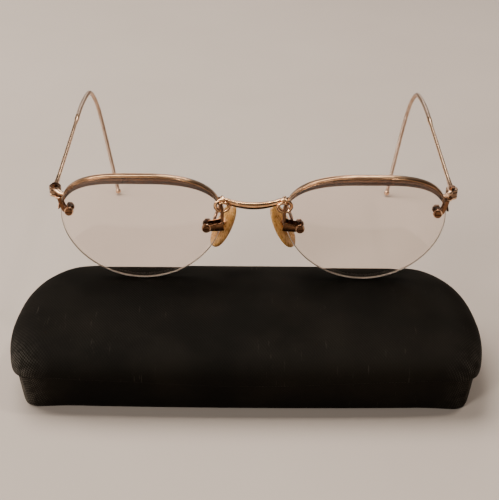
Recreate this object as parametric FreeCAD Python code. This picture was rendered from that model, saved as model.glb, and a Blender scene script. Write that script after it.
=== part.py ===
import FreeCAD, Part
import math
import os
from FreeCAD import Vector

# Rimless-bottom spectacles with curl temples, standing on their own clamshell case.
# Millimetres.  X runs along the case, +Y to its hinge at the back, +Z up.
# The origin is the centre of the case's flat underside.

# --- driving dimensions: case ---------------------------------------------------------
CASE_HALF_LENGTH = 67.6
CASE_HALF_DEPTH = 28.0
CASE_HEIGHT = 19.8
RIM_Z = 12.8                # top of the base's rim
RIM_GAP = 0.3               # between the two rims
EDGE_ROUND = 11.0           # how far in from its rim the lid has become flat
LIP_DROP = 1.6              # how far the lid's lip hangs over the base
SPINE_HALF = 45.0           # the straight part of the back edge
COVER_T = 0.7               # leatherette
STEEL_T = 0.7               # pressed steel
LINING_T = 0.9              # velvet on board
PLY_GAP = 0.02
BASE_STEP = 1.2             # the base's rim stands this far inside the lid's lip
FOOT_IN = 3.6               # how far the wall draws in from the rim down to the table
FOOT_ENDS_OUT = 1.2         # how much less its two ends draw in than its front
HINGE_Y = 27.1
HINGE_Z = RIM_Z + RIM_GAP / 2
CASE_BARREL_R = 1.25
CASE_PIN_R = 0.6
CASE_KNUCKLES = 9
CASE_HINGE_HALF = 43.0
STRAP_HIGH = 0.8            # how far a leaf's strap reaches above or below the pin's middle
STRAP_LOW = 0.35

# --- driving dimensions: spectacles ---------------------------------------------------
SPEC_X = 1.8                # middle of the bridge, from the middle of the case
SPEC_Y = 20.0               # temple pins, from the middle of the case
PIN_X = 58.6                # temple pins, each side of the bridge
PIN_Z = 46.5
LENS_X = 33.0               # middle of a lens, from the middle of the bridge
LENS_Z = 40.5               # the level at which a lens is widest
LENS_HALF_W = 23.7
LENS_UP = 13.9
LENS_DOWN = 20.5
LENS_T = 1.8
LENS_R = 88.0               # front curve
LENS_FRONT_Y = -8.0         # the front of the lens at its middle
ARM_T = 1.1
ARM_GAP = 0.04
SCREW_R = 0.6
SCREW_PLACES = {"nasal": (13.8, 37.4), "temporal": (54.0, 42.5)}
STRAP_T = 0.5
BARREL_R = 1.5
TEMPLE_PIN_R = 0.5
TEMPLE_PIN_FIT = 0.05
KNUCKLE_H = 0.8
KNUCKLE_MID = 1.3
KNUCKLE_GAP = 0.08
TEMPLE_REACH = 84.0         # straight and easy part, before the curl
CURL_R = 13.0
CURL_DROP = 46.12           # down to the middle of the tip, which just clears the table
SHAFT_R = 0.6
CABLE_R = 0.75
TIP_R = 1.05
CABLE_START = 54.0
PAD_LONG = 7.6              # half lengths of a nose pad
PAD_WIDE = 4.3
PAD_T = 1.9
PAD_CENTRE = (9.0, 1.2, 34.4)
PAD_PIN_R = 0.3

OUT = "parts"


# --- helpers --------------------------------------------------------------------------
def save(name, shape):
    """One STEP file for one named piece."""
    if not shape.isValid():
        print("NOT VALID", name)
    shape.exportStep(os.path.join(OUT, name + ".step"))
    print("%-24s %10.2f mm3 %d solid(s)" % (name, shape.Volume, len(shape.Solids)))


def both_sides(name, shape):
    """A piece built on +X of the spectacles, and its mirror image, put in their places."""
    for side, piece in (("right", shape), ("left", mirrored(shape))):
        save("%s_%s" % (name, side), placed(piece))


def mirrored(shape):
    return shape.mirror(Vector(0, 0, 0), Vector(1, 0, 0))


def placed(shape):
    """Spectacles are drawn about the middle of the bridge, then stood on the case."""
    return shape.translated(Vector(SPEC_X, SPEC_Y, 0))


def box(x0, x1, y0, y1, z0, z1):
    return Part.makeBox(x1 - x0, y1 - y0, z1 - z0, Vector(x0, y0, z0))


def rod(start, end, radius):
    start, end = Vector(*start), Vector(*end)
    return Part.makeCylinder(radius, start.distanceToPoint(end), start, end - start)


def largest(shape):
    """The piece that matters of a shape that a cut has left with crumbs."""
    return max(shape.Solids, key=lambda solid: solid.Volume)


def bent_path(points):
    """Straight runs joined by tangent arcs, each as large as its two runs allow."""
    points = [Vector(*p) for p in points]
    edges, here = [], points[0]
    for before, corner, after in zip(points, points[1:], points[2:]):
        back = (before - corner).normalize()
        on = (after - corner).normalize()
        turn = math.pi - back.getAngle(on)
        cut = 0.45 * min(corner.distanceToPoint(before), corner.distanceToPoint(after))
        radius = cut / math.tan(turn / 2)
        start, end = corner + back * cut, corner + on * cut
        inward = (back + on).normalize()
        middle = corner + inward * (radius / math.cos(turn / 2) - radius)
        edges += [Part.LineSegment(here, start).toShape(), Part.Arc(start, middle, end).toShape()]
        here = end
    edges.append(Part.LineSegment(here, points[-1]).toShape())
    return Part.Wire(edges)


def tube(path, radius):
    """A round wire along a path of lines and arcs."""
    first = path.Edges[0]
    start = first.valueAt(first.FirstParameter)
    along = first.tangentAt(first.FirstParameter)
    ring = Part.Wire([Part.Circle(start, along, radius).toShape()])
    return path.makePipeShell([ring], True, True)


def ellipse_wire(centre, normal, wide_dir, wide, tall):
    """An ellipse with its wide radius along wide_dir; either radius may be the larger."""
    normal, wide_dir = Vector(*normal), Vector(*wide_dir)
    tall_dir = normal.cross(wide_dir).normalize()
    wide_dir = wide_dir.normalize()
    centre = Vector(*centre)
    major, minor, m_dir, n_dir = (wide, tall, wide_dir, tall_dir)
    if tall > wide:
        major, minor, m_dir, n_dir = (tall, wide, tall_dir, wide_dir)
    curve = Part.Ellipse(centre + m_dir * major, centre + n_dir * minor, centre)
    return Part.Wire([curve.toShape()])


# --- lenses and what follows their outline --------------------------------------------
def lens_outline(grow_side=0.0, grow_up=0.0, grow_down=0.0, y=-14.0):
    """A closed curve of four superellipse quarters, each with its own squareness."""
    points = []
    count = 48
    for i in range(count):
        a = 2 * math.pi * i / count
        c, s = math.cos(a), math.sin(a)
        temporal = c > 0
        if s >= 0:
            power, tall = (2.8 if temporal else 2.4), LENS_UP + grow_up
        else:
            power, tall = 1.93, LENS_DOWN + grow_down
        wide = LENS_HALF_W + grow_side
        x = wide * math.copysign(abs(c) ** (2 / power), c)
        z = tall * math.copysign(abs(s) ** (2 / power), s)
        points.append(Vector(LENS_X + x, y, LENS_Z + z))
    curve = Part.BSplineCurve()
    curve.interpolate(points, PeriodicFlag=True)
    return Part.Wire([curve.toShape()])


def lens_prism(*grow):
    return Part.Face(lens_outline(*grow)).extrude(Vector(0, 20, 0))


def lens_ball(radius):
    """A ball about the centre of the lens's curves; half of it is enough."""
    centre = Vector(LENS_X, LENS_FRONT_Y + LENS_R, LENS_Z - 2)
    return Part.makeSphere(radius, centre, Vector(0, 0, 1), -90, 90, 360)


def lens_back_y(x, z):
    """Where the back of the lens stands at a place on it."""
    r2 = (x - LENS_X) ** 2 + (z - LENS_Z + 2) ** 2
    return LENS_FRONT_Y + LENS_R - math.sqrt((LENS_R - LENS_T) ** 2 - r2)


def make_lens():
    glass = lens_prism().common(lens_ball(LENS_R)).cut(lens_ball(LENS_R - LENS_T))
    for x, z in SCREW_PLACES.values():
        glass = glass.cut(rod((x, -14, z), (x, 4, z), SCREW_R + 0.1))
    return glass


def make_arm():
    """The arch arm: a strip behind the top edge of the lens, with a lip forward over the edge."""
    behind = LENS_R - LENS_T - ARM_GAP
    ring = lens_prism(0.5, 0.5).common(lens_ball(LENS_R)).cut(lens_ball(behind - ARM_T))
    lens_room = lens_prism(0.06, 0.06).cut(lens_ball(behind))
    ring = ring.cut(lens_room).cut(lens_prism(-1.0, -1.9))
    return ring.common(box(0, 70, -14, 10, 44.2, 60))


def make_strap(kind):
    """Two ears that grip the lens, and a shoe joining them round its edge."""
    x, z = SCREW_PLACES[kind]
    toward_edge = -1 if kind == "nasal" else 1
    edge_x = LENS_X + toward_edge * LENS_HALF_W
    outside = edge_x + toward_edge * (STRAP_T + 0.35)
    front_y = lens_back_y(x, z) - LENS_T
    back_y = lens_back_y(edge_x, z)
    ears = []
    for y0, y1 in ((front_y - 0.05 - STRAP_T, front_y - 0.05), (back_y + 0.05, back_y + 0.05 + STRAP_T)):
        ear = rod((x, y0, z), (x, y1, z), 1.5)
        blade = box(min(x, outside), max(x, outside), y0, y1, z - 0.8, z + 0.8)
        ears.append(ear.fuse(blade))
    shoe_in = edge_x + toward_edge * 0.3
    shoe = box(min(shoe_in, outside), max(shoe_in, outside), front_y - 0.05 - STRAP_T,
               back_y + 0.05 + STRAP_T, z - 1.3, 44.4)
    strap = shoe.fuse(ears)
    strap = strap.cut(lens_prism(0.05, 0.05, 0.05).common(lens_ball(LENS_R + 0.03)).cut(
        lens_ball(LENS_R - LENS_T - 0.03)))
    return strap.cut(rod((x, -14, z), (x, 4, z), SCREW_R + 0.02)).removeSplitter()


def lens_hardware():
    """For each strap: its screw, the nut behind and the washer in front."""
    screws, nuts, washers = [], [], []
    for kind, (x, z) in SCREW_PLACES.items():
        toward_edge = -1 if kind == "nasal" else 1
        front = lens_back_y(x, z) - LENS_T - 0.05 - STRAP_T
        back = lens_back_y(LENS_X + toward_edge * LENS_HALF_W, z) + 0.05 + STRAP_T
        washer = rod((x, front - 0.22, z), (x, front - 0.01, z), 1.35)
        washers.append(washer.cut(rod((x, front - 1, z), (x, front + 1, z), SCREW_R + 0.02)))
        head = rod((x, front - 0.85, z), (x, front - 0.24, z), 1.05)
        slot = box(x - 2, x + 2, front - 2, front - 0.6, z - 0.14, z + 0.14)
        shank = rod((x, front - 0.3, z), (x, back + 1.0, z), SCREW_R)
        screws.append(head.cut(slot).fuse(shank))
        corners = [Vector(x + 1.25 * math.cos(i * math.pi / 3), back + 0.02,
                          z + 1.25 * math.sin(i * math.pi / 3)) for i in range(7)]
        nut = Part.Face(Part.makePolygon(corners)).extrude(Vector(0, 0.8, 0))
        nuts.append(nut.cut(rod((x, back - 1, z), (x, back + 3, z), SCREW_R + 0.02)))
    return {"lens_screws": screws, "lens_nuts": nuts, "lens_washers": washers}


# --- bridge, pad arms and pads --------------------------------------------------------
def make_bridge():
    """A flattened bar through ellipses, low in its middle, its ends on the arch arms."""
    sections = []
    for i in range(-4, 5):
        x = 2.2 * i
        end = abs(i) / 4
        y = -4.7 + 1.2 * end ** 2
        z = 44.1 + 1.2 * end ** 2
        sections.append(ellipse_wire((x, y, z), (1, 0, 0), (0, 1, 0), 0.75, 1.15 - 0.25 * end))
    return Part.makeLoft(sections, True, False)


def pad_axes():
    """Right-hand pad: the pin's direction, the long way down, and the face to the nose."""
    down = Vector(0.5, 0.0, -1.0).normalize()
    face = Vector(-0.9, 0.42, 0)
    face = (face - down * face.dot(down)).normalize()
    pin = down.cross(face).normalize()
    return pin, down, face


def in_pad_frame(shape):
    """Moves a shape drawn with X along the pin, Y down the pad and Z towards the nose."""
    pin, down, face = pad_axes()
    c = PAD_CENTRE
    matrix = FreeCAD.Matrix(pin.x, down.x, face.x, c[0], pin.y, down.y, face.y, c[1],
                            pin.z, down.z, face.z, c[2], 0, 0, 0, 1)
    moved = shape.copy()
    moved.transformShape(matrix)
    return moved


def pad_point(x, y, z):
    pin, down, face = pad_axes()
    p = Vector(*PAD_CENTRE) + pin * x + down * y + face * z
    return (p.x, p.y, p.z)


def make_pad():
    """A rounded oval, domed on the side that meets the nose."""
    rings = []
    for depth, share in ((-0.5, 0.80), (-0.36, 0.92), (-0.1, 1.0), (0.2, 0.95), (0.42, 0.80), (0.5, 0.55)):
        rings.append(ellipse_wire((0, 0, depth * PAD_T), (0, 0, 1), (1, 0, 0),
                                  PAD_WIDE * share, PAD_LONG * (share * 0.6 + 0.4)))
    return Part.makeLoft(rings, True, False)


PIN_DEPTH = -2.1            # the pin's distance behind the middle of the pad


def make_pad_lug():
    """A metal tongue on the back of the pad, with the hole for its pin."""
    lug = box(-0.5, 0.5, -0.8, 0.8, PIN_DEPTH, -PAD_T / 2 - 0.01)
    lug = lug.fuse(rod((-0.5, 0, PIN_DEPTH), (0.5, 0, PIN_DEPTH), 0.8))
    plate = box(-1.6, 1.6, -2.4, 2.4, -PAD_T / 2 - 0.3, -PAD_T / 2 - 0.01)
    hole = rod((-1, 0, PIN_DEPTH), (1, 0, PIN_DEPTH), PAD_PIN_R + 0.05)
    return lug.fuse(plate).cut(hole).removeSplitter()


def make_pad_box():
    """Two cheeks and a back, which hold the pin."""
    back = PIN_DEPTH - 1.3
    case = box(-1.15, 1.15, -1.0, 1.0, back - 0.5, PIN_DEPTH + 0.55)
    room = box(-0.62, 0.62, -2, 2, back, 2)
    hole = rod((-2, 0, PIN_DEPTH), (2, 0, PIN_DEPTH), PAD_PIN_R)
    return case.cut(room).cut(hole)


def make_pad_pin():
    return rod((-1.35, 0, PIN_DEPTH), (1.35, 0, PIN_DEPTH), PAD_PIN_R)


def make_pad_arm():
    """A wire from the end of the bridge, looping back and down to the pad's box."""
    end = pad_point(0, -0.6, PIN_DEPTH - 1.5)
    beyond = pad_point(0, -2.2, PIN_DEPTH - 2.5)
    route = [(8.9, -3.2, 45.0), (9.3, -1.3, 45.2), (10.0, -0.5, 42.8), (10.9, -0.4, 40.3), beyond, end]
    return tube(bent_path(route), 0.5)


# --- temples --------------------------------------------------------------------------
SIDE_LEAN = 0.03            # outward, for each millimetre back
DROP_LEAN = 0.187           # inward, for each millimetre down


def temple_matrix():
    """The temple is flat: drawn with X back along it and Y down, then leaned into place."""
    back = Vector(SIDE_LEAN, 1, 0).normalize()
    down = Vector(-DROP_LEAN, 0, -1)
    down = (down - back * down.dot(back)).normalize()
    out = back.cross(down)
    return FreeCAD.Matrix(back.x, down.x, out.x, 58.9, back.y, down.y, out.y, 0,
                          back.z, down.z, out.z, PIN_Z, 0, 0, 0, 1)


def leaned(shape):
    moved = shape.copy()
    moved.transformShape(temple_matrix())
    return moved


def turn_from(start, heading, radius, turn):
    """An arc that starts at a point with a heading, both in degrees and flat."""
    a0 = math.radians(heading)
    centre = start + Vector(-math.sin(a0), math.cos(a0), 0) * radius

    def at(angle):
        a = math.radians(angle)
        return centre + Vector(math.sin(a), -math.cos(a), 0) * radius
    return Part.Arc(start, at(heading + turn / 2), at(heading + turn)).toShape(), at(heading + turn)


def curl_edges():
    """From the start of the cable to its tip: straight, an easy bend, the curl, the drop."""
    easy_r = 140.0
    easy_turn = 10.0
    easy_start = TEMPLE_REACH - easy_r * math.sin(math.radians(easy_turn))
    start = Vector(easy_start, 0, 0)
    edges = [Part.LineSegment(Vector(CABLE_START, 0, 0), start).toShape()]
    easy, here = turn_from(start, 0, easy_r, easy_turn)
    curl, here = turn_from(here, easy_turn, CURL_R, 86)
    drop_r = 170.0
    rest = CURL_DROP - here.y
    drop, here = turn_from(here, 96, drop_r, math.degrees(rest / drop_r) * 1.01)
    return edges + [easy, curl, drop], here


def make_temple():
    """The pieces of the right temple, by name."""
    pieces = {}
    edges, end = curl_edges()
    shaft = rod((7.5, 0, 0), (CABLE_START - 0.02, 0, 0), SHAFT_R)
    pieces["temple_shaft"] = leaned(shaft)
    sleeve = rod((CABLE_START - 3.2, 0, 0), (CABLE_START + 3.2, 0, 0), CABLE_R + 0.3)
    sleeve = sleeve.cut(rod((CABLE_START - 4, 0, 0), (CABLE_START, 0, 0), SHAFT_R))
    sleeve = sleeve.cut(rod((CABLE_START, 0, 0), (CABLE_START + 4, 0, 0), CABLE_R))
    pieces["temple_sleeve"] = leaned(sleeve)
    pieces["temple_cable"] = leaned(tube(Part.Wire(edges), CABLE_R))
    ball = Part.makeSphere(TIP_R, end)
    ball = ball.cut(tube(Part.Wire(edges), CABLE_R))
    pieces["temple_tip"] = leaned(ball)
    pieces["temple_butt"] = make_butt()
    return pieces


def knuckle(z0, z1, hole):
    barrel = rod((PIN_X, 0, z0), (PIN_X, 0, z1), BARREL_R)
    return barrel.cut(rod((PIN_X, 0, z0 - 1), (PIN_X, 0, z1 + 1), hole))


def make_butt():
    """The temple's flattened front end, tapering to the wire, with the middle knuckle."""
    sections = []
    for along, wide, tall in ((1.8, 0.62, 0.6), (2.6, 0.7, 0.95), (4.2, 0.68, 0.9), (6.5, 0.66, 0.76),
                              (9.5, 0.68, 0.72)):
        sections.append(ellipse_wire((0, 0, 0), (1, 0, 0), (0, 1, 0), tall, wide))
        sections[-1].translate(Vector(along, 0, 0))
    blade = Part.makeLoft(sections, True, False)
    blade = blade.cut(rod((7.5, 0, 0), (12, 0, 0), SHAFT_R))
    half = KNUCKLE_MID / 2
    web = box(PIN_X - 0.3, PIN_X + 0.9, 0.3, 2.6, PIN_Z - half, PIN_Z + half)
    clear = rod((PIN_X, 0, PIN_Z - 3), (PIN_X, 0, PIN_Z + 3), BARREL_R + 0.25)
    upper = clear.common(box(50, 70, -5, 5, PIN_Z + half, PIN_Z + 4))
    lower = clear.common(box(50, 70, -5, 5, PIN_Z - 4, PIN_Z - half))
    mid = knuckle(PIN_Z - half, PIN_Z + half, TEMPLE_PIN_R + TEMPLE_PIN_FIT)
    web = web.cut(rod((PIN_X, 0, PIN_Z - 3), (PIN_X, 0, PIN_Z + 3), TEMPLE_PIN_R + TEMPLE_PIN_FIT))
    return leaned(blade).cut(upper).cut(lower).fuse([web, mid]).removeSplitter()


def make_end_piece():
    """From the end of the arch arm to the two outer knuckles of the temple's hinge."""
    low = PIN_Z - KNUCKLE_MID / 2 - KNUCKLE_GAP
    high = PIN_Z + KNUCKLE_MID / 2 + KNUCKLE_GAP
    band = box(55.2, 57.9, -4.4, -1.5, low - KNUCKLE_H, high + KNUCKLE_H)
    nose = box(PIN_X - 1.5, PIN_X + 0.2, -2.2, -0.2, low - KNUCKLE_H, high + KNUCKLE_H)
    sweep = rod((PIN_X, 0, low), (PIN_X, 0, high), BARREL_R + 0.25)
    ends = [knuckle(low - KNUCKLE_H, low, TEMPLE_PIN_R), knuckle(high, high + KNUCKLE_H, TEMPLE_PIN_R)]
    pin_hole = rod((PIN_X, 0, 40), (PIN_X, 0, 55), TEMPLE_PIN_R)
    body = band.fuse(nose).cut(sweep).cut(pin_hole)
    keep_off_lens = lens_prism(0.1, 0.1, 0.1).common(lens_ball(LENS_R + 0.05)).cut(
        lens_ball(LENS_R - LENS_T - 0.05))
    return largest(body.fuse(ends).cut(keep_off_lens).cut(make_arm()).removeSplitter())


def make_hinge_screw():
    """A slotted screw down through the three knuckles."""
    low = PIN_Z - KNUCKLE_MID / 2 - KNUCKLE_GAP - KNUCKLE_H
    high = PIN_Z + KNUCKLE_MID / 2 + KNUCKLE_GAP + KNUCKLE_H
    shank = rod((PIN_X, 0, low - 0.3), (PIN_X, 0, high + 0.1), TEMPLE_PIN_R)
    head = rod((PIN_X, 0, high + 0.01), (PIN_X, 0, high + 0.6), 0.9)
    slot = box(PIN_X - 2, PIN_X + 2, -0.13, 0.13, high + 0.35, high + 2)
    return head.cut(slot).fuse(shank)


# --- case -----------------------------------------------------------------------------
# The right end of the outline, from the end of the straight back to the front, as
# offsets from the end of the case's spine.
END_SHAPE = [(0, 28), (10, 26), (17.4, 19.2), (21.6, 9.5), (23, -3), (22.3, -13), (19.9, -22),
             (17, -25.5), (12.5, -26.6), (0, -27.4)]
FRONT_BOW = 28.0


END_REACH = CASE_HALF_LENGTH - SPINE_HALF


def case_level(inset, z, ends_out=0.0):
    """The case's outline at a level, drawn in towards its spine, and less at its two ends."""
    s = 1 - inset / CASE_HALF_DEPTH
    s_end = (s + ends_out / END_REACH) * END_REACH / END_SHAPE[4][0]
    right = [Vector(SPINE_HALF + s_end * x, s * y, z) for x, y in END_SHAPE]
    left = [Vector(-p.x, p.y, z) for p in reversed(right)]
    ends = []
    for points, first in ((right, Vector(1, 0, 0)), (left, Vector(-1, 0.03, 0))):
        last = Vector(-1, -0.03, 0) if points is right else Vector(1, 0, 0)
        curve = Part.BSplineCurve()
        curve.interpolate(points, InitialTangent=first, FinalTangent=last)
        ends.append(curve.toShape())
    front = Part.Arc(right[-1], Vector(0, -s * FRONT_BOW, z), left[0]).toShape()
    back = Part.LineSegment(left[-1], right[0]).toShape()
    return Part.Wire([ends[0], front, ends[1], back])


def base_form(t, top=RIM_Z):
    """The outside of a ply of the base that lies a depth t inside its cover."""
    side = BASE_STEP + t
    levels = [(t, FOOT_IN, FOOT_ENDS_OUT), (t + 0.25, FOOT_IN - 0.35, FOOT_ENDS_OUT),
              (t + 0.8, FOOT_IN - 0.65, FOOT_ENDS_OUT - 0.1), (RIM_Z, 0.0, 0.0)]
    if top > RIM_Z:
        levels.append((top, 0.0, 0.0))
    wires = [case_level(side + more, z, ends_out) for z, more, ends_out in levels]
    return Part.makeLoft(wires, True, True)


def lid_form(t, low=RIM_Z + RIM_GAP):
    """The outside of a ply of the lid: a quarter ellipse from its rim to its flat top."""
    start = RIM_Z + RIM_GAP
    tall = CASE_HEIGHT - t - start
    wires = [case_level(t, low)] if low < start else []
    for step in range(10):
        a = math.radians(10 * step)
        wires.append(case_level(t + EDGE_ROUND * (1 - math.cos(a)), start + tall * math.sin(a)))
    return Part.makeLoft(wires, True, True)


def hinge_room():
    """Space round the barrels, and a slot through both walls for the leaves' straps."""
    long_rod = rod((-SPINE_HALF - 5, HINGE_Y, HINGE_Z), (SPINE_HALF + 5, HINGE_Y, HINGE_Z), CASE_BARREL_R + 0.35)
    slot = box(-CASE_HINGE_HALF, CASE_HINGE_HALF, 22.5, HINGE_Y, HINGE_Z - STRAP_HIGH - 0.05,
               HINGE_Z + STRAP_HIGH + 0.05)
    return long_rod.fuse(slot)


def lid_ply(outer, inner, lip_drop=0.0):
    """A ply of the lid; a lip hangs over the base at the front and the sides only."""
    rim = RIM_Z + RIM_GAP
    ply = lid_form(outer, rim - lip_drop).cut(lid_form(inner, rim - lip_drop - 2))
    return ply.cut(box(-80, 80, 8, 40, 0, rim))


def make_plies():
    """Cover, steel and lining of the base and of the lid, nested without touching."""
    depths = {"cover": (0, COVER_T), "shell": (COVER_T + PLY_GAP, COVER_T + STEEL_T),
              "lining": (COVER_T + STEEL_T + PLY_GAP, COVER_T + STEEL_T + LINING_T)}
    pieces = {}
    for ply, (outer, inner) in depths.items():
        base = base_form(outer).cut(base_form(inner, RIM_Z + 2))
        lid = lid_ply(outer, inner, LIP_DROP if ply == "cover" else 0.0)
        pieces["base_" + ply] = base.cut(hinge_room())
        pieces["lid_" + ply] = lid.cut(hinge_room())
    return pieces


def make_case_hinge():
    """Knuckles in turn on the base and on the lid, each with a leaf inside the case."""
    step = 2 * CASE_HINGE_HALF / CASE_KNUCKLES
    leaf_y = CASE_HALF_DEPTH - BASE_STEP - COVER_T - STEEL_T - LINING_T - 1.1
    groups = {"base_hinge": [], "lid_hinge": []}
    for i in range(CASE_KNUCKLES):
        on_base = i % 2 == 0
        x0 = -CASE_HINGE_HALF + i * step + 0.1
        x1 = x0 + step - 0.2
        barrel = rod((x0, HINGE_Y, HINGE_Z), (x1, HINGE_Y, HINGE_Z), CASE_BARREL_R)
        below = -1 if on_base else 1
        leaf_z = sorted(HINGE_Z + below * z for z in (STRAP_LOW, 3.5 if on_base else 2.3))
        strap_z = sorted(HINGE_Z + below * z for z in (STRAP_LOW, STRAP_HIGH))
        leaf = box(x0, x1, leaf_y - 0.45, leaf_y, *leaf_z)
        strap = box(x0, x1, leaf_y - 0.45, HINGE_Y, *strap_z)
        bore = CASE_PIN_R if on_base else CASE_PIN_R + 0.06
        hole = rod((x0 - 1, HINGE_Y, HINGE_Z), (x1 + 1, HINGE_Y, HINGE_Z), bore)
        knuckle_piece = barrel.fuse([leaf, strap]).cut(hole).removeSplitter()
        groups["base_hinge" if on_base else "lid_hinge"].append(knuckle_piece)
    return {name: Part.makeCompound(items) for name, items in groups.items()}


def make_case_pin():
    half = CASE_HINGE_HALF - 0.1
    return rod((-half, HINGE_Y, HINGE_Z), (half, HINGE_Y, HINGE_Z), CASE_PIN_R)


def make_snap_springs():
    """Two bowed strips behind the hinge leaves that snap the lid open and shut."""
    strips = []
    for side in (-1, 1):
        ends = [Vector(side * x, 22.7, RIM_Z - 5.1) for x in (12, 40)]
        crown = Vector(side * 26, 21.7, RIM_Z - 5.1)
        back = Part.Arc(ends[0], crown, ends[1]).toShape()
        thin = Vector(0, -0.35, 0)
        front = Part.Arc(ends[1] + thin, crown + thin, ends[0] + thin).toShape()
        sides = [Part.LineSegment(ends[1], ends[1] + thin).toShape(),
                 Part.LineSegment(ends[0] + thin, ends[0]).toShape()]
        outline = Part.Wire([back, sides[0], front, sides[1]])
        strips.append(Part.Face(outline).extrude(Vector(0, 0, 3.7)))
    return Part.makeCompound(strips)


# --- everything -----------------------------------------------------------------------
def main():
    os.makedirs("parts", exist_ok=True)
    arm = make_arm()
    both_sides("lens", make_lens())
    both_sides("arch_arm", arm)
    end_piece = make_end_piece()
    bridge = make_bridge().cut(arm).cut(mirrored(arm))
    both_sides("end_piece", end_piece)
    for kind in SCREW_PLACES:
        both_sides(kind + "_strap", largest(make_strap(kind).cut([arm, end_piece, bridge])))
    for name, shapes in lens_hardware().items():
        group = shapes + [mirrored(shape) for shape in shapes]
        save(name, placed(Part.makeCompound(group)))
    save("bridge", placed(bridge))
    pad_box = in_pad_frame(make_pad_box())
    both_sides("pad_arm", largest(make_pad_arm().cut([arm, bridge, pad_box])))
    both_sides("pad_box", pad_box)
    pin = in_pad_frame(make_pad_pin())
    save("pad_pins", placed(Part.makeCompound([pin, mirrored(pin)])))
    both_sides("nose_pad", in_pad_frame(make_pad()))
    both_sides("pad_lug", in_pad_frame(make_pad_lug()))
    for name, shape in make_temple().items():
        both_sides(name, shape)
    screw = make_hinge_screw()
    save("hinge_screws", placed(Part.makeCompound([screw, mirrored(screw)])))
    for name, shape in make_plies().items():
        save(name, shape)
    for name, shape in make_case_hinge().items():
        save(name, shape)
    save("case_hinge_pin", make_case_pin())
    save("snap_springs", make_snap_springs())


main()
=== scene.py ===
"""Old semi-rimless spectacles with curl temples, standing on their black clamshell case."""
import math
import bmesh
import bpy
import numpy as np
from mathutils import Matrix, Vector


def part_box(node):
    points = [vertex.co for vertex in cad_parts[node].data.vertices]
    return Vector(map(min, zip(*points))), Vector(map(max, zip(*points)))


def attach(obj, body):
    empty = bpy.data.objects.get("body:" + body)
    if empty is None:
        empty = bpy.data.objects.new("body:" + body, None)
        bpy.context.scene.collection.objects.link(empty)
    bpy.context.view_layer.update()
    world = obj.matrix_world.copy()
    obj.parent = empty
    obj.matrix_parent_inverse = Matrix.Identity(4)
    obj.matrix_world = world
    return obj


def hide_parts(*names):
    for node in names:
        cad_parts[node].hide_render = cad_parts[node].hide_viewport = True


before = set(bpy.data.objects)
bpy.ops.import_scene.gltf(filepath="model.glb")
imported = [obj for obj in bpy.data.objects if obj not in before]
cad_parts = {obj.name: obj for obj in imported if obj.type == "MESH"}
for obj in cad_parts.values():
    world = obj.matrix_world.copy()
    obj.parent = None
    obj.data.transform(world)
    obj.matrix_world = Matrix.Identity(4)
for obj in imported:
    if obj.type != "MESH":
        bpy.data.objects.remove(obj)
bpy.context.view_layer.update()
MM = 0.001
SIDES = {"right": 1.0, "left": -1.0}


def mm_box(node):
    """A node's lowest and highest corner in millimetres."""
    low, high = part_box(node)
    return np.array(low) / MM, np.array(high) / MM


# --- sizes, in millimetres, from the frame where it has them ----------------------------
LENS_LOW, LENS_HIGH = mm_box("lens_right")
LID_LOW, LID_HIGH = mm_box("lid_cover")
SCREWS_LOW, SCREWS_HIGH = mm_box("hinge_screws")
BRIDGE_LOW, BRIDGE_HIGH = mm_box("bridge")
MIDDLE_X = (SCREWS_LOW[0] + SCREWS_HIGH[0]) / 2
PIN_Y = (SCREWS_LOW[1] + SCREWS_HIGH[1]) / 2
PIN_Z = 46.5
PIN_X = 58.6
BARREL_R = 1.75
KNUCKLE_H = 0.8
KNUCKLE_MID = 1.3
KNUCKLE_GAP = 0.08

LENS_X = (LENS_LOW[0] + LENS_HIGH[0]) / 2 - MIDDLE_X
LENS_HALF_W = (LENS_HIGH[0] - LENS_LOW[0]) / 2
LENS_UP = 13.9
LENS_Z = LENS_HIGH[2] - LENS_UP
LENS_DOWN = LENS_Z - LENS_LOW[2]
LENS_FRONT_Y = -8.0
LENS_R = 88.0
LENS_T = 1.8
LENS_BEVEL = 0.3
# Powers of the lens's superellipse quarters: the two lower ones, the upper outer, the upper nasal.
POWER_LOWER, POWER_OUTER, POWER_NASAL = 1.93, 2.8, 2.4
ARM_FROM, ARM_TO = 0.155, math.pi - 0.205
STRAP_TOP = 46.3
STRAP_PLACES = {"nasal": (13.8, 37.4), "temporal": (54.0, 42.5)}
BRIDGE_Y = -4.7
BRIDGE_Z = 44.1
BRIDGE_BOW = 1.2

PAD_CENTRE = np.array([9.0, 1.2, 34.4])
PAD_LONG = 7.6
PAD_WIDE = 4.3
PAD_T = 1.9

CABLE_START = 54.0
TEMPLE_REACH = 84.0
CURL_R = 13.0
CURL_DROP = 46.12
CABLE_R = 0.75
STRAND_PITCH = 0.62

SPINE_HALF = 45.0
CASE_HALF_LENGTH = (LID_HIGH[0] - LID_LOW[0]) / 2
CASE_HALF_DEPTH = 28.0
RIM_Z = mm_box("base_cover")[1][2]
LID_RIM_Z = RIM_Z + 0.3
LID_TOP = LID_HIGH[2]
EDGE_ROUND = 11.0
COVER_T = 0.66
CROWN = 0.45
BASE_HEM = 0.25
HINGE_Z = (RIM_Z + LID_RIM_Z) / 2
HINGE_CLEAR = 1.65
HINGE_HALF = 46.0
BASE_STEP = 1.2
FOOT_IN = 3.6
FOOT_ENDS_OUT = 1.2
FOOT_SQUARE = 0.075
FOOT_CORNER_X = 17.0

CAMERA_PLACE = (MIDDLE_X - 1.04, PIN_Y - 264.9, 179.4)
BACKWARD = np.array([0.0, 1.0, 0.0])
UPWARD = np.array([0.0, 0.0, 1.0])
SIDEWAYS = np.array([1.0, 0.0, 0.0])


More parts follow.
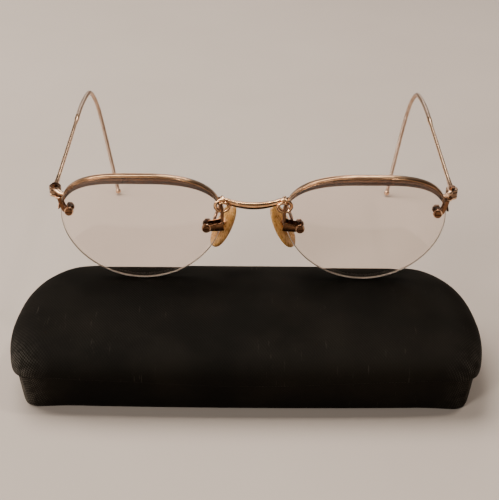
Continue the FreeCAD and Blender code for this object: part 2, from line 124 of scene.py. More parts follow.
# --- shader kit ---------------------------------------------------------------------------
class Value:
    """One socket of a shader tree; arithmetic on it adds Math nodes."""

    def __init__(self, finish, socket):
        self.finish, self.socket = finish, socket

    def math(self, operation, *others):
        sockets = dict(enumerate((self,) + others))
        return self.finish.add("ShaderNodeMath", {"operation": operation}, sockets)

    def reflected(self, operation, other):
        return self.finish.add("ShaderNodeMath", {"operation": operation}, {0: other, 1: self})

    def __add__(self, other):
        return self.math("ADD", other)

    def __sub__(self, other):
        return self.math("SUBTRACT", other)

    def __mul__(self, other):
        return self.math("MULTIPLY", other)

    def __radd__(self, other):
        return self.reflected("ADD", other)

    def __rsub__(self, other):
        return self.reflected("SUBTRACT", other)

    def __rmul__(self, other):
        return self.reflected("MULTIPLY", other)

    def sin(self):
        return self.math("SINE")

    def clamped(self):
        return self.math("MINIMUM", 1.0).math("MAXIMUM", 0.0)

    def between(self, low, high):
        """0 below low, 1 above high, and a smooth rise from one to the other."""
        settings = {"interpolation_type": "SMOOTHSTEP"}
        return self.finish.add("ShaderNodeMapRange", settings, {0: self, 1: low, 2: high, 3: 0.0, 4: 1.0})


class Finish:
    """A material with one Principled shader, and one method that adds any node."""

    def __init__(self, name, **constants):
        self.material = bpy.data.materials.new(name)
        self.material.use_nodes = True
        self.tree = self.material.node_tree
        self.shader = self.tree.nodes["Principled BSDF"]
        for socket, value in constants.items():
            self.shader.inputs[socket.replace("_", " ")].default_value = value

    def add(self, kind, settings=None, sockets=None, output=0):
        node = self.tree.nodes.new(kind)
        for key, value in (settings or {}).items():
            setattr(node, key, value)
        for key, value in (sockets or {}).items():
            self.feed(node.inputs[key], value)
        return Value(self, node.outputs[output])

    def feed(self, socket, value):
        if isinstance(value, Value):
            self.tree.links.new(value.socket, socket)
        elif socket.type == "RGBA" and len(value) == 3:
            socket.default_value = (*value, 1.0)
        else:
            socket.default_value = value

    def set(self, **inputs):
        for name, value in inputs.items():
            self.feed(self.shader.inputs[name.replace("_", " ")], value)
        return self

    def place(self, scale=(1.0, 1.0, 1.0)):
        """Object coordinates in millimetres, stretched."""
        here = self.add("ShaderNodeTexCoord", output="Object")
        size = tuple(s / MM for s in scale)
        return self.add("ShaderNodeMapping", {"vector_type": "POINT"}, {"Vector": here, "Scale": size})

    def noise(self, vector, scale=1.0, detail=3.0, roughness=0.55):
        sockets = {"Vector": vector, "Scale": scale, "Detail": detail, "Roughness": roughness}
        return self.add("ShaderNodeTexNoise", None, sockets)

    def attribute(self, name):
        return self.add("ShaderNodeAttribute", {"attribute_name": name}, output="Fac")

    def mixed(self, factor, first, second):
        sockets = {"Factor": factor, 6: first, 7: second}
        return self.add("ShaderNodeMix", {"data_type": "RGBA"}, sockets, output=2)

    def bump(self, height, depth_mm, strength=1.0):
        sockets = {"Height": height, "Distance": depth_mm * MM, "Strength": strength}
        return self.add("ShaderNodeBump", None, sockets)


def gold_finish(name, bright, dull, roughness=0.2, grain=0.006):
    """Rolled gold: rosy metal with brown tarnish in patches, and hairline wear.

    The shade attribute paints shade on it, near-black brown: in grooves and cuts, under edges, on the strip
    behind the lens, and on the hinge.
    """
    gold = Finish(name, Metallic=1.0, IOR=1.45)
    spot = gold.place()
    patch = gold.noise(spot, 0.45, 4.0).between(0.42, 0.68)
    speck = gold.noise(spot, 3.2, 2.0).between(0.60, 0.72)
    tarnish = (patch * 0.55 + speck * 0.35).clamped()
    hair = gold.noise(gold.place((0.6, 5.0, 5.0)), 2.0, 2.0)
    rough = roughness + tarnish * 0.18 + hair * 0.06
    height = hair * 0.6 + speck * -0.8
    colour = gold.mixed(tarnish, bright, dull)
    # Painted shade: where the shade attribute is high the gold turns near-black brown.
    colour = gold.mixed(gold.attribute("shade"), colour, (0.035, 0.012, 0.006))
    return gold.set(Base_Color=colour, Roughness=rough, Normal=gold.bump(height, grain, 0.5))


def cable_finish():
    """The wound wire of the curls: bright on its crowns, with painted shade, brown, down between the turns.
    """
    cable = Finish("gold_cable_wound", Metallic=1.0)
    crown = cable.attribute("crown")
    patch = cable.noise(cable.place(), 0.5, 3.0).between(0.4, 0.7)
    worn = cable.mixed(patch, (0.74, 0.55, 0.42), (0.56, 0.38, 0.27))
    # Painted shade: brown-black between the turns, the winding's crowns left bright.
    colour = cable.mixed(crown, (0.20, 0.10, 0.055), worn)
    return cable.set(Base_Color=colour, Roughness=0.42 - crown * 0.16)


def glass_finish(name, tint, roughness):
    """Crown glass with a breath of pink, and a haze of fingerprints and dust."""
    glass = Finish(name, Transmission_Weight=1.0, IOR=1.5)
    smear = glass.noise(glass.place((1.0, 1.0, 0.6)), 0.16, 4.0).between(0.5, 0.75)
    dust = glass.noise(glass.place(), 2.6, 2.0).between(0.70, 0.78)
    hazed = glass.mixed(smear * 0.25 + dust * 0.2, tint, tuple(0.93 * c for c in tint))
    return glass.set(Base_Color=hazed, Roughness=roughness + smear * 0.012 + dust * 0.03)


def edge_glass_finish():
    """The ground edge of a lens: frosted, with fine marks of the wheel round it."""
    edge = Finish("lens_ground_edge", Transmission_Weight=0.35, IOR=1.5)
    mark = edge.noise(edge.place((6.0, 0.8, 6.0)), 1.5, 2.0)
    return edge.set(Base_Color=edge.mixed(mark, (0.24, 0.185, 0.14), (0.52, 0.42, 0.33)),
                    Roughness=0.22 + mark * 0.15, Normal=edge.bump(mark, 0.02, 0.5))


def amber_finish():
    """Old celluloid: honey and brown clouds in the plastic, polished by wear."""
    amber = Finish("pad_amber_celluloid", Transmission_Weight=0.28, IOR=1.5, Coat_Roughness=0.08)
    spot = amber.place((1.0, 1.0, 0.45))
    cloud = amber.noise(spot, 0.55, 4.0).between(0.3, 0.7)
    thread = amber.noise(amber.place((1.0, 1.0, 0.15)), 2.4, 3.0)
    colour = amber.mixed(cloud, (0.52, 0.235, 0.05), (0.80, 0.44, 0.12))
    colour = amber.mixed(thread.between(0.58, 0.72) * 0.3, colour, (0.26, 0.10, 0.02))
    return amber.set(Base_Color=colour, Roughness=0.22 + thread * 0.12, Coat_Weight=0.3 + cloud * 0.2,
                     Normal=amber.bump(thread, 0.02, 0.4))


def leatherette_finish(name):
    """Black grained cloth: two crossed sets of fine ridges, scuffed pale at hems and corners.

    cloth_x and cloth_y are each point's place, in millimetres, on the cloth laid flat.  The wear
    attribute scuffs it, and a painted-shadow attribute blackens the wall just below the lid's lip.
    """
    skin = Finish(name, Specular_IOR_Level=0.03)
    wander = skin.noise(skin.place(), 0.8, 2.0)
    pitch = 2 * math.pi / 0.85
    across, along = skin.attribute("cloth_x") * pitch, skin.attribute("cloth_y") * pitch
    over = (across + along * 0.75 + wander * 2.5).sin()
    under = (across - along * 0.75 + wander * 2.5).sin()
    pebble = skin.noise(skin.place(), 2.8, 3.0)
    grain = over * 0.28 + under * 0.20 + 0.5
    height = grain * 0.9 + pebble * 0.35
    worn = skin.attribute("wear")
    broken = skin.noise(skin.place(), 0.45, 3.0).between(0.30, 0.70)
    scuff = (worn * (0.25 + broken) * grain * grain * 1.6).clamped()
    streak = skin.noise(skin.place((3.6, 0.12, 0.12)), 1.0, 2.0).between(0.69, 0.72)
    zone = skin.noise(skin.place((0.035, 0.055, 0.05)), 1.0, 1.0).between(0.50, 0.62)
    scratch = streak * zone * 0.16
    sheen = skin.noise(skin.place(), 0.035, 3.0).between(0.35, 0.70)
    base = skin.mixed(sheen, (0.0031, 0.0027, 0.0020), (0.0066, 0.0052, 0.0036))
    base = skin.mixed(grain * pebble * 0.3, base, (0.022, 0.017, 0.012))
    base = skin.mixed((scuff * 0.55 + scratch).clamped(), base, (0.17, 0.145, 0.115))
    # Painted shadow: near black on the base's wall where the lid's lip overhangs it.
    base = skin.mixed(skin.attribute("lip_shadow") * 0.95, base, (0.0003, 0.0002, 0.0001))
    rough = 0.80 - sheen * 0.16 + scuff * 0.1 - grain * 0.05
    return skin.set(Base_Color=base, Roughness=rough, Normal=skin.bump(height, 0.045, 0.55))


def velvet_finish():
    """Short wine-coloured pile, brushed this way and that."""
    velvet = Finish("case_velvet_pile", Sheen_Weight=0.2, Sheen_Roughness=0.4, Roughness=0.9)
    nap = velvet.noise(velvet.place(), 0.10, 4.0).between(0.3, 0.7)
    pile = velvet.noise(velvet.place(), 4.5, 2.0)
    colour = velvet.mixed(nap * 0.7 + pile * 0.3, (0.075, 0.006, 0.016), (0.20, 0.025, 0.045))
    return velvet.set(Base_Color=colour, Normal=velvet.bump(pile, 0.12, 0.8))


def steel_finish(name):
    """Pressed sheet steel, drawn lengthways, with a few brown spots."""
    steel = Finish(name, Metallic=1.0)
    drawn = steel.noise(steel.place((0.25, 6.0, 6.0)), 1.0, 3.0)
    rust = steel.noise(steel.place(), 0.5, 5.0).between(0.60, 0.72)
    colour = steel.mixed(rust * 0.6, (0.44, 0.42, 0.39), (0.20, 0.11, 0.06))
    return steel.set(Base_Color=colour, Roughness=0.30 + drawn * 0.16 + rust * 0.25,
                     Normal=steel.bump(drawn, 0.01, 0.4))


def table_finish():
    """Plain pale cloth, almost smooth."""
    cloth = Finish("pale_table", Roughness=0.9, Specular_IOR_Level=0.2)
    spot = cloth.place()
    shade = cloth.noise(spot, 0.01, 3.0)
    colour = cloth.mixed(shade, (0.42, 0.35, 0.296), (0.485, 0.409, 0.349))
    return cloth.set(Base_Color=colour, Normal=cloth.bump(cloth.noise(spot, 1.2, 2.0), 0.05, 0.15))


GOLD = gold_finish("gold_filled_polished", (0.90, 0.60, 0.38), (0.36, 0.16, 0.07), 0.17)
GOLD_ENGRAVED = gold_finish("gold_filled_engraved", (0.92, 0.55, 0.29), (0.34, 0.13, 0.05), 0.15, 0.012)
HARDWARE = gold_finish("gold_hardware_turned", (0.185, 0.088, 0.042), (0.038, 0.015, 0.007), 0.18, 0.010)
CABLE = cable_finish()
GLASS = glass_finish("lens_crown_glass", (0.985, 0.90, 0.845), 0.004)
GLASS_EDGE = edge_glass_finish()
AMBER = amber_finish()
LEATHERETTE = leatherette_finish("case_leatherette_grained")
VELVET = velvet_finish()
STEEL = steel_finish("case_steel_pressed")


# --- mesh kit -------------------------------------------------------------------------------
def grid_faces(rows, columns, start):
    """Quads between neighbouring rows and columns of a grid of vertices whose columns run round."""
    i, j = np.meshgrid(np.arange(rows - 1), np.arange(columns), indexing="ij")
    k = (j + 1) % columns
    quads = np.stack([i * columns + j, i * columns + k, (i + 1) * columns + k, (i + 1) * columns + j], -1)
    return (quads + start).reshape(-1, 4)


def fan_faces(ring_start, columns, centre):
    """Triangles from a ring of vertices to one centre vertex."""
    j = np.arange(columns)
    return np.stack([ring_start + j, ring_start + (j + 1) % columns, np.full(columns, centre)], -1)


def build(name, grids, body, finish, replaces=(), closed_ends=True, attributes=None, sharp=38.0):
    """One mesh from grids of points in millimetres, each wrapped round its second direction.

    Where ends are closed, a fan of triangles joins the first and the last ring to their middles.
    """
    vertices, faces, count = [], [], 0
    fields = {key: [] for key in attributes or {}}
    for number, grid in enumerate(grids):
        rows, columns = grid.shape[:2]
        vertices.append(grid.reshape(-1, 3))
        for key, field in fields.items():
            field += [attributes[key][number].ravel(), np.zeros(2 * closed_ends)]
        faces += grid_faces(rows, columns, count).tolist()
        middle = count + rows * columns
        if closed_ends:
            vertices.append(grid[[0, -1]].mean(axis=1))
            faces += fan_faces(count, columns, middle).tolist()
            faces += fan_faces(count + (rows - 1) * columns, columns, middle + 1).tolist()
            middle += 2
        count = middle
    mesh = bpy.data.meshes.new(name)
    mesh.from_pydata((np.concatenate(vertices) * MM).tolist(), [], faces)
    for key, field in fields.items():
        mesh.attributes.new(key, "FLOAT", "POINT").data.foreach_set("value", np.concatenate(field))
    tidy_normals(mesh)
    mesh.polygons.foreach_set("use_smooth", np.ones(len(mesh.polygons), bool))
    mesh.set_sharp_from_angle(angle=math.radians(sharp))
    piece = bpy.data.objects.new(name, mesh)
    bpy.context.scene.collection.objects.link(piece)
    mesh.materials.append(finish.material)
    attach(piece, body)
    if replaces:
        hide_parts(*replaces)
    return piece


def tidy_normals(mesh):
    """Merges doubled vertices, drops faces of no area, and turns every face outwards."""
    work = bmesh.new()
    work.from_mesh(mesh)
    bmesh.ops.remove_doubles(work, verts=work.verts, dist=0.002 * MM)
    bmesh.ops.dissolve_degenerate(work, edges=work.edges, dist=0.0005 * MM)
    bmesh.ops.recalc_face_normals(work, faces=work.faces)
    work.to_mesh(mesh)
    work.free()


def unit(vectors):
    """Each vector, one long."""
    return vectors / np.linalg.norm(vectors, axis=-1, keepdims=True)


def power_circle(count, power):
    """Cosine and sine round a circle, each raised to 2 / power: 2 is round, 5 is nearly square."""
    a = np.linspace(0, 2 * np.pi, count, endpoint=False)
    c, s = np.cos(a), np.sin(a)
    return np.sign(c) * abs(c) ** (2 / power), np.sign(s) * abs(s) ** (2 / power)


def carried(path, wide_dir, tall_dir, wide, tall, power=2.0, around=16, swell=1.0):
    """A rounded section carried along a path.

    Each point is path + wide_dir * wide * cos^(2/power) + tall_dir * tall * sin^(2/power), times a
    swell that may differ at every point of the grid.
    """
    c, s = power_circle(around, power)
    rows = len(path)
    wide = np.broadcast_to(np.asarray(wide, float), (rows,))
    tall = np.broadcast_to(np.asarray(tall, float), (rows,))
    wide_dir = np.broadcast_to(wide_dir, (rows, 3))[:, None]
    tall_dir = np.broadcast_to(tall_dir, (rows, 3))[:, None]
    out = wide_dir * (wide[:, None] * c)[..., None] + tall_dir * (tall[:, None] * s)[..., None]
    return path[:, None] + out * np.broadcast_to(np.asarray(swell, float), (rows, around))[..., None]


def tube(path, radius, around=12, swell=1.0):
    """A round wire along a path; its two side directions are carried on without twisting."""
    along = unit(np.gradient(path, axis=0))
    side = np.cross(along[0], (0.0, 0.0, 1.0) if abs(along[0][2]) < 0.9 else (1.0, 0.0, 0.0))
    sides = []
    for direction in along:
        side = side - direction * (side @ direction)
        side = side / np.linalg.norm(side)
        sides.append(side)
    sides = np.array(sides)
    return carried(path, sides, np.cross(along, sides), radius, radius, 2.0, around, swell)


def smooth_path(points, count):
    """A curve through a few points: between two of them it is the usual four-point cubic."""
    p = np.asarray(points, float)
    p = np.concatenate([[2 * p[0] - p[1]], p, [2 * p[-1] - p[-2]]])
    t = np.linspace(0, len(points) - 1, count)
    i = np.minimum(t.astype(int), len(points) - 2)
    f = (t - i)[:, None]
    a, b, c, d = p[i], p[i + 1], p[i + 2], p[i + 3]
    curved = (2 * a - 5 * b + 4 * c - d) * f ** 2 + (3 * b - a - 3 * c + d) * f ** 3
    return 0.5 * (2 * b + (c - a) * f + curved)


def rounded_ends(count, sharpness=0.08):
    """Widths that close to a rounded point at both ends of a path and stay 1 between."""
    t = np.linspace(0, 1, count)
    edge = np.minimum(t, 1 - t) / sharpness
    return np.sqrt(np.clip(1 - (1 - np.minimum(edge, 1)) ** 2, 0.01, 1))


def step_between(values, low, high):
    """0 below low, 1 above high, and a smooth rise from one to the other."""
    t = np.clip((values - low) / (high - low), 0, 1)
    return t * t * (3 - 2 * t)


def smooth_column(places, values, wanted):
    """Values at wanted places on a smooth curve through the given ones."""
    share = np.interp(wanted, places, np.arange(len(places)))
    curve = smooth_path(np.stack([places, values], -1), 400)
    return np.interp(share, np.linspace(0, len(places) - 1, 400), curve[:, 1])


def turned(profile, axis_xy, around):
    """A profile of (radius, height) points turned about an upright axis."""
    a = np.linspace(0, 2 * np.pi, around, endpoint=False)
    r = np.array([p[0] for p in profile])[:, None]
    z = np.array([p[1] for p in profile])[:, None]
    x, y = axis_xy
    return np.stack([x + r * np.cos(a), y + r * np.sin(a), z + 0 * a], -1)


def on_side(grids, sign):
    """Places grids drawn for the right of the bridge, or their mirror images, on the set."""
    moved = []
    for grid in grids:
        grid = grid * np.array([sign, 1.0, 1.0])
        moved.append(grid + np.array([MIDDLE_X, PIN_Y, 0.0]))
    return moved


# --- lenses ---------------------------------------------------------------------------------
def lens_outline(angles):
    """Four superellipse quarters round the widest level of the lens, each with its own power."""
    c, s = np.cos(angles), np.sin(angles)
    power = np.where(s >= 0, np.where(c > 0, POWER_OUTER, POWER_NASAL), POWER_LOWER)
    tall = np.where(s >= 0, LENS_UP, LENS_DOWN)
    x = LENS_HALF_W * np.sign(c) * abs(c) ** (2 / power)
    z = tall * np.sign(s) * abs(s) ** (2 / power)
    return np.stack([x, z], -1)


def lens_curve_y(x, z, radius):
    """Depth of a ball of that radius about the middle of the lens's curves."""
    r2 = (x - LENS_X) ** 2 + (z - LENS_Z + 2) ** 2
    return LENS_FRONT_Y + LENS_R - np.sqrt(radius ** 2 - r2)


def lens_rows():
    """Rows from the middle of the front, out to the edge, round two bevels and back to the middle."""
    reach = np.linspace(0.02, 1.0, 22) ** 0.8
    front = [(r, LENS_BEVEL, 0.0) for r in reach]
    edge = [(1.0, 0.0, share) for share in (0.16, 0.3, 0.5, 0.7, 0.84)]
    back = [(r, LENS_BEVEL, 1.0) for r in reach[::-1]]
    return front + edge + back


def make_lens(side, sign):
    """Each point is the outline drawn in by a row's share, at a row's depth through the glass."""
    angles = np.linspace(0, 2 * np.pi, 144, endpoint=False)
    rim = lens_outline(angles)
    length = np.linalg.norm(rim, axis=1)
    rows = []
    for reach, inset, through in lens_rows():
        flat = rim * (reach * (1 - inset / length))[:, None]
        x, z = LENS_X + flat[:, 0], LENS_Z + flat[:, 1]
        front, back = lens_curve_y(x, z, LENS_R), lens_curve_y(x, z, LENS_R - LENS_T)
        rows.append(np.stack([x, front + (back - front) * through, z], -1))
    piece = build("lens_ground_" + side, on_side([np.array(rows)], sign), "spectacles_front", GLASS,
                  ["lens_" + side], sharp=25.0)
    piece.data.materials.append(GLASS_EDGE.material)
    polygons = piece.data.polygons
    normals = np.empty(3 * len(polygons), np.float32)
    polygons.foreach_get("normal", normals)
    polygons.foreach_set("material_index", (abs(normals[1::3]) < 0.88).astype(np.int32))


# --- arch arms, straps and bridge -------------------------------------------------------------
def make_arm(side, sign):
    """A lip over the lens's top edge and a strip that hangs from it behind the lens, both grooved.

    Each is a squarish section carried along the outline, shrunk by a cosine of eight periods round
    it; the strip is deep in the middle and runs out at both ends.  A lip or strip is its top and
    bottom out from the outline, its front and back behind the lens's face, and its power.
    """
    count, around = 150, 72
    angles = np.linspace(ARM_FROM, ARM_TO, count)
    rim = lens_outline(angles)
    outward = unit(rim * np.array([1 / LENS_HALF_W ** 2, 1 / LENS_UP ** 2]))
    tall_dir = np.stack([outward[:, 0], np.zeros(count), outward[:, 1]], -1)
    middle = np.sin(np.linspace(0, math.pi, count)) ** 0.6
    turn = np.linspace(0, 2 * np.pi, around, endpoint=False)
    ends = rounded_ends(count, 0.02)
    lip = (0.08, -0.80, -0.14, LENS_T + 0.05, 4.0)
    strip = (0.05, -0.35 - 2.9 * middle, LENS_T + 0.02, LENS_T + 0.5, 3.4)
    groove = (0.5 - 0.5 * np.cos(turn * 8)) * np.ones((count, 1))
    grids = []
    for high, low, front, back, power in (lip, strip):
        centre = rim + outward * np.broadcast_to((high + low) / 2, count)[:, None]
        x, z = LENS_X + centre[:, 0], LENS_Z + centre[:, 1]
        deep = (back - front) / 2
        path = np.stack([x, lens_curve_y(x, z, LENS_R) + front + deep, z], -1)
        grids.append(carried(path, BACKWARD, tall_dir, ends * deep * (0.6 + 0.4 * middle),
                             ends * (high - low) / 2, power, around, 1 - 0.16 * groove))
    # Painted shade, fed to the shade attribute: the lip is darkened on its underside, its lower front and
    # in its grooves, and the strip behind the lens is dark all over.
    under, before = -np.sin(turn), -np.cos(turn)
    underside_shade = np.maximum(step_between(under, 0.15, 0.75), 0.7 * step_between(before, 0.45, 0.85))
    shade = [np.maximum(underside_shade * middle[:, None], groove ** 1.2 * 0.95), 1.0 - 0.25 * (1 - groove) ** 3]
    return build("arch_arm_grooved_" + side, on_side(grids, sign), "spectacles_front", GOLD_ENGRAVED,
                 ["arch_arm_" + side], attributes={"shade": shade})


def ear(route, y, lobe_half, waist_half):
    """A leaf along a route of (x, z) places: narrow in its waist, and a wide lobe at its far end."""
    count = 40
    flat = smooth_path(route, count)
    t = np.linspace(0, 1, count)
    lobe = lobe_half * np.exp(-((t - 0.82) / 0.15) ** 2)
    tip = np.sqrt(np.clip(1 - np.clip((t - 0.94) / 0.06, 0, 1) ** 2, 0.03, 1))
    half = np.maximum(lobe, waist_half * (1 + 0.5 * (1 - t) ** 2)) * tip
    along = unit(np.gradient(flat, axis=0))
    across = np.stack([-along[:, 1], np.zeros(count), along[:, 0]], -1)
    path = np.stack([flat[:, 0], np.full(count, y), flat[:, 1]], -1)
    return carried(path, BACKWARD, across, 0.26, half, 3.0, 16)


def make_strap(kind, side, sign):
    """Front and back ears, and a shoe along the lens's edge that runs on up to the arch arm.

    The shoe's path is the lens's outline solved for x at each level.
    """
    x, z = STRAP_PLACES[kind]
    toward = -1.0 if kind == "nasal" else 1.0
    edge_x = LENS_X + toward * LENS_HALF_W
    beyond = x - toward * 1.4
    if kind == "nasal":
        route = [(edge_x - 0.5, z + 0.6), ((edge_x + x) / 2, z + 0.1), (x - 0.6, z), (beyond, z)]
        lobe, waist, foot, grip = 1.55, 0.95, z - 0.9, 0.55
    else:
        route = [(edge_x - 0.25, 46.6), (edge_x - 0.5, 45.2), (x + 1.3, z + 0.15), (x - 0.2, z),
                 (beyond, z - 0.1)]
        lobe, waist, foot, grip = 1.25, 0.45, z + 0.4, 0.32
    front = lens_curve_y(x, z, LENS_R) - 0.33
    back = lens_curve_y(edge_x, z, LENS_R - LENS_T) + 0.33
    ears = [ear(route, front, lobe, waist), ear(route, back, lobe, waist)]
    count = 26
    levels = np.linspace(foot, STRAP_TOP, count)
    rise = (levels - LENS_Z) / np.where(levels < LENS_Z, LENS_DOWN, LENS_UP)
    power = np.where(levels < LENS_Z, POWER_LOWER, POWER_NASAL if kind == "nasal" else POWER_OUTER)
    rim_x = LENS_X + toward * LENS_HALF_W * (1 - abs(rise) ** power) ** (1 / power)
    middle_y = (front + back) / 2 + np.linspace(0, 0.9, count)
    path = np.stack([rim_x + toward * (0.68 - grip), middle_y, levels], -1)
    depth = (back - front) / 2 + 0.22 - np.linspace(0, 0.75, count)
    shoe = carried(path, BACKWARD, SIDEWAYS, depth * rounded_ends(count, 0.1),
                   grip * rounded_ends(count, 0.05), 3.0, 20)
    return build(kind + "_strap_leafed_" + side, on_side(ears + [shoe], sign), "spectacles_front",
                 HARDWARE, [kind + "_strap_" + side])


def make_bridge():
    """A saddle bar: low in its middle, chased with crossed cuts, swelling into a scroll at each end."""
    count, around = 160, 28
    half_span = (BRIDGE_HIGH[0] - BRIDGE_LOW[0]) / 2
    u = np.linspace(-1, 1, count)
    x = half_span * u
    bow = BRIDGE_BOW * u ** 2
    path = np.stack([x, BRIDGE_Y + bow, BRIDGE_Z + bow], -1)
    scroll = np.exp(-((abs(u) - 0.86) / 0.07) ** 2)
    tall = (1.06 - 0.22 * abs(u) ** 1.5 + 0.12 * scroll) * rounded_ends(count, 0.02)
    deep = (0.74 + 0.10 * scroll) * rounded_ends(count, 0.02)
    turn = np.linspace(0, 2 * np.pi, around, endpoint=False)
    chased = np.exp(-(u / 0.72) ** 8)[:, None]
    lattice = np.sin(x[:, None] * 5.2 + turn * 3) * np.sin(x[:, None] * 5.2 - turn * 3)
    swell = 1 + 0.065 * chased * lattice - 0.05 * (np.cos(turn * 4) > 0.8)
    grid = carried(path, BACKWARD, UPWARD, deep, tall, 2.6, around, swell)
    # Painted shade in the chased cuts, fed to the shade attribute.
    cut_shade = chased * np.clip(-2.2 * lattice, 0, 1) * 0.75
    return build("bridge_chased", on_side([grid], 1.0), "spectacles_front", GOLD_ENGRAVED,
                 ["bridge"], attributes={"shade": [cut_shade]})


def make_bridge_scrolls(side, sign):
    """A wire that leaves the end of the bridge and winds inwards in a flat scroll in front of it.

    Its radius shrinks in step with its angle, which falls by 430 degrees.
    """
    count = 110
    t = np.linspace(0, 1, count)
    angle = math.radians(115) - math.radians(430) * t
    radius = 2.45 - 1.1 * t
    x = 8.95 + 1.05 * radius * np.cos(angle)
    z = 43.95 + 0.85 * radius * np.sin(angle)
    path = np.stack([x, BRIDGE_Y - 0.35 * t, z], -1)
    wire = tube(path, 0.54, 12, (rounded_ends(count, 0.03) * (1 - 0.2 * t))[:, None] * np.ones(12))
    return build("bridge_scroll_" + side, on_side([wire], sign), "spectacles_front", GOLD_ENGRAVED)


def make_pad_arm(side, sign):
    """A wire that loops up, back and down from the bridge to the pad's box, flattened on the way."""
    _, down, face = pad_axes()
    end = PAD_CENTRE + down * -0.6 + face * -3.5
    beyond = PAD_CENTRE + down * -2.2 + face * -4.6
    route = [(8.5, -3.5, 45.0), (9.3, -1.3, 45.2), (10.0, -0.5, 42.8), (10.9, -0.4, 40.3), beyond, end]
    count = 80
    path = smooth_path(route, count)
    wire = tube(path, 0.5, 12, (0.8 + 0.2 * rounded_ends(count, 0.2))[:, None] * np.ones(12))
    return build("pad_arm_looped_" + side, on_side([wire], sign), "spectacles_front", GOLD,
                 ["pad_arm_" + side])


# --- nose pads --------------------------------------------------------------------------------
def pad_axes():
    """The pin's direction, the long way down the right pad, and its face to the nose."""
    down = unit(np.array([0.5, 0.0, -1.0]))
    face = np.array([-0.9, 0.42, 0.0])
    face = unit(face - down * (face @ down))
    return unit(np.cross(down, face)), down, face


def make_pad(side, sign):
    """A teardrop, fuller at its foot: its sections are squarish ovals that shrink to both ends.

    Half its width goes as sin(a) ** 0.85 and half its thickness as sin(a) ** 0.45, where the length
    along it is -cos(a).
    """
    pin, down, face = pad_axes()
    count = 60
    a = np.linspace(0.03, math.pi - 0.03, count)
    along = -np.cos(a) * PAD_LONG
    round_off = np.sin(a) ** 0.85
    wide = PAD_WIDE * round_off * (0.93 + 0.07 * along / PAD_LONG)
    thick = PAD_T / 2 * np.clip(np.sin(a), 0.05, 1) ** 0.45
    path = PAD_CENTRE + down * along[:, None] - face * (0.1 * (along[:, None] / PAD_LONG) ** 2)
    grid = carried(path, pin, face, wide, thick, 2.5, 32)
    return build("nose_pad_worn_" + side, on_side([grid], sign), "nose_pad_" + side, AMBER,
                 ["nose_pad_" + side], sharp=60.0)


# --- temples ----------------------------------------------------------------------------------
def temple_axes():
    """The temple's way back, its curl's way down, which leans inwards, and the way across both."""
    back = unit(np.array([0.03, 1.0, 0.0]))
    down = np.array([-0.187, 0.0, -1.0])
    down = unit(down - back * (down @ back))
    return back, down, np.cross(back, down)


def leaned(flat):
    """Points drawn as distance back and distance down, put on the leaning plane of the temple."""
    back, down, _ = temple_axes()
    start = np.array([58.9, 0.0, PIN_Z])
    return start + back * flat[:, :1] + down * flat[:, 1:2]


def curl_line(step=0.075):
    """Straight, an easy bend, the curl and the drop: headings that turn at a rate set by each radius."""
    easy_r, easy_turn, curl_turn, drop_r = 140.0, math.radians(10), math.radians(86), 170.0
    straight = TEMPLE_REACH - easy_r * math.sin(easy_turn) - CABLE_START
    easy, curl = easy_r * easy_turn, CURL_R * curl_turn
    ends = np.cumsum([straight, easy, curl, 40.0])
    s = np.arange(0, ends[-1], step)
    rate = np.select([s < ends[0], s < ends[1], s < ends[2]], [0.0, 1 / easy_r, 1 / CURL_R], 1 / drop_r)
    heading = np.cumsum(rate) * step
    back = CABLE_START + np.cumsum(np.cos(heading)) * step
    down = np.cumsum(np.sin(heading)) * step
    keep = down <= CURL_DROP
    return s[keep], np.stack([back[keep], down[keep]], -1)


def make_cable(side, sign):
    """A close winding over a core: the radius swells and falls in a helix along the curl."""
    s, flat = curl_line()
    around = 12
    turn = np.linspace(0, 2 * np.pi, around, endpoint=False)
    phase = 2 * np.pi * s[:, None] / STRAND_PITCH + turn
    crown = np.sqrt(abs(np.cos(phase / 2)))
    grid = tube(leaned(flat), CABLE_R, around, 0.86 + 0.14 * crown)
    return build("temple_cable_wound_" + side, on_side([grid], sign), "temple_" + side, CABLE,
                 ["temple_cable_" + side], attributes={"crown": [crown]}, sharp=80.0)


def make_butt(side, sign):
    """The temple's head: a flat teardrop that tapers into the wire, on the leaning plane."""
    _, down, out = temple_axes()
    along = np.array([0.9, 1.3, 1.9, 2.8, 3.8, 5.2, 7.2, 9.6])
    tall = np.array([0.50, 0.80, 0.98, 1.00, 0.92, 0.80, 0.70, 0.63])
    thick = np.array([0.60, 0.82, 0.86, 0.80, 0.74, 0.68, 0.64, 0.62])
    count = 40
    fine = np.linspace(along[0], along[-1], count)
    path = leaned(np.stack([fine, np.zeros(count)], -1))
    taper = rounded_ends(count, 0.03)
    head = carried(path, out, down, smooth_column(along, thick, fine) * taper,
                   smooth_column(along, tall, fine) * taper, 2.4, 20)
    grids = [head, knuckle(PIN_Z - KNUCKLE_MID / 2, PIN_Z + KNUCKLE_MID / 2)]
    # Painted shade: the knuckle is darkened strongly and the head a little.
    shade = [np.full(grid.shape[:2], shade_amount) for grid, shade_amount in zip(grids, (0.25, 0.75))]
    return build("temple_head_" + side, on_side(grids, sign), "temple_" + side, GOLD,
                 ["temple_butt_" + side], attributes={"shade": shade})


def make_collar(side, sign):
    """Where the wire enters the winding: a slim spindle over the join."""
    t = np.linspace(0, 1, 40)
    reach = CABLE_START + 3.2 * (2 * t - 1)
    radius = 0.64 + 0.16 * step_between(t, 0.0, 0.6) + 0.05 * np.exp(-((t - 0.62) / 0.2) ** 2)
    flat = np.stack([reach, 0 * reach], -1)
    spindle = tube(leaned(flat), 1.0, 20, radius[:, None] * np.ones(20))
    return build("temple_collar_" + side, on_side([spindle], sign), "temple_" + side, GOLD,
                 ["temple_sleeve_" + side])


def knuckle(low, high):
    """A barrel about the temple's pin, its two rims rounded off, open for the pin."""
    outer, bore, bevel = BARREL_R, 0.55, 0.12
    profile = [(bore, low), (outer - bevel, low), (outer, low + bevel), (outer, high - bevel),
               (outer - bevel, high), (bore, high), (bore, low)]
    return turned(profile, (PIN_X, 0.0), 28)


